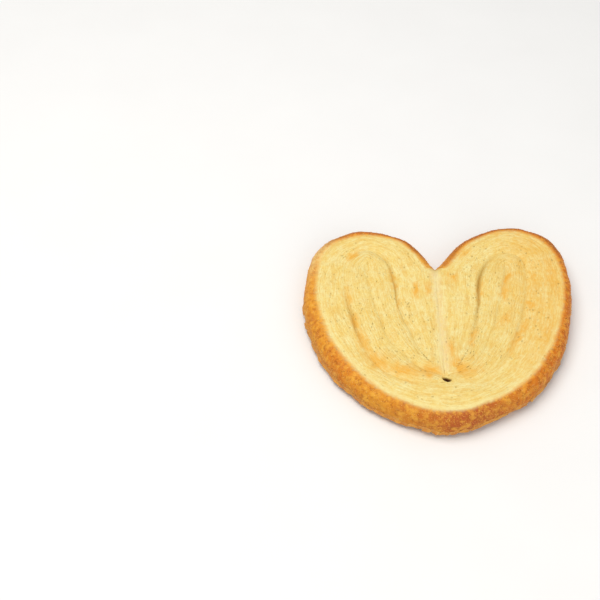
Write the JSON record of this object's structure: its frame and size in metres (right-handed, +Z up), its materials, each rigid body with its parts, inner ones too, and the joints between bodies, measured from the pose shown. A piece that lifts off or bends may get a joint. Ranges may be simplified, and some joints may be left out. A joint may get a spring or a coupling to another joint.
{
  "type": "palmier",
  "caption": "Heart-shaped palmier of folded puff pastry lying flat, with a caramelised crust round a pale layered face.",
  "frame": {"origin": "centre of the bounding box in plan, at the height of the flat underside", "axes": "+X from the left lobe to the right lobe, +Y from the rounded tip towards the notch between the lobes, +Z up, out of the face"},
  "size_m": [0.1418, 0.1334, 0.0152],
  "materials": {
    "baked_puff_pastry": "dry, layered and slightly rough, with a grainy caramelised crust"
  },
  "bodies": {
    "root": {"palmier": "baked_puff_pastry"}
  },
  "joints": []
}
